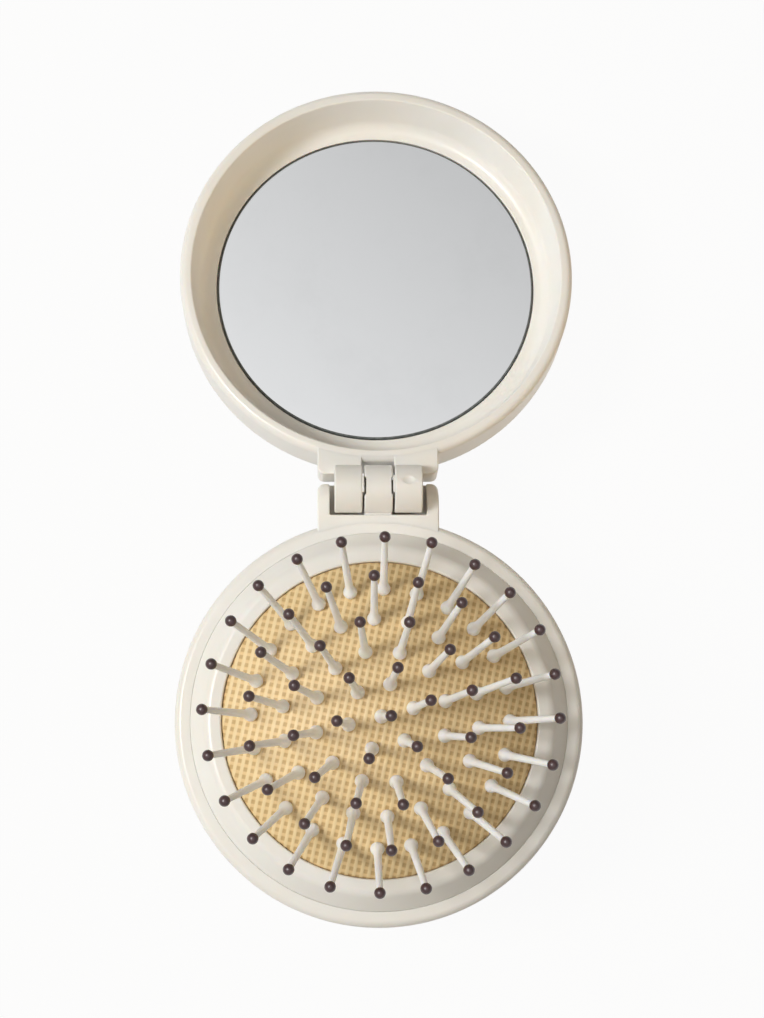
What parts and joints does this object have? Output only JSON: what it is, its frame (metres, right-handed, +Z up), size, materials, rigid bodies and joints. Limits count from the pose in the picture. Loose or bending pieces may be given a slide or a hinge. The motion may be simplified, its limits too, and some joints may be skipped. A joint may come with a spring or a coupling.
{
  "type": "folding hairbrush with mirror",
  "caption": "Round compact hairbrush: a domed cushion of ball-tipped bristles on a push-up tray, with a hinged lid that holds a mirror.",
  "frame": {"origin": "on the table plane, straight below the hinge line and midway across the hinge", "axes": "+X along the hinge line, +Y from the brush half to the mirror half, +Z up, out of the bristles"},
  "size_m": [0.07, 0.1496, 0.0465],
  "materials": {
    "ivory_plastic": "glossy ivory moulding",
    "rubber": "matt beige rubber",
    "woven": "plain weave in gold and beige",
    "nylon": "white nylon",
    "brown_tip": "glossy dark brown",
    "mirror": "silvered glass",
    "pad": "adhesive foam pad"
  },
  "bodies": {
    "brush_half": {"base_shell": "ivory_plastic", "base_floor": "ivory_plastic"},
    "tray": {"tray_ring": "ivory_plastic", "tray_carrier": "ivory_plastic", "push_plate": "ivory_plastic", "cushion": "rubber", "woven_cover": "woven", "bristle_centre": "nylon", "bristle_ring_1": "nylon", "bristle_ring_2": "nylon", "bristle_ring_3": "nylon", "bristle_ring_4": "nylon", "tip_centre": "brown_tip", "tip_ring_1": "brown_tip", "tip_ring_2": "brown_tip", "tip_ring_3": "brown_tip", "tip_ring_4": "brown_tip"},
    "lid": {"lid_shell": "ivory_plastic", "mirror_glass": "mirror", "mirror_pad": "pad"}
  },
  "joints": [
    {"name": "lid_hinge", "type": "hinge", "parent": "brush_half", "child": "lid", "pos_m": [0, 0, 0.02195], "axis": [1, 0, 0], "range_deg": [0, 185]},
    {"name": "tray_slide", "type": "slide", "parent": "brush_half", "child": "tray", "axis": [0, 0, -1], "range_m": [0, 0.0168]}
  ],
  "couplings": [
    {"joint": "tray_slide", "follows": "lid_hinge", "m_per_rad": 0.005203}
  ]
}
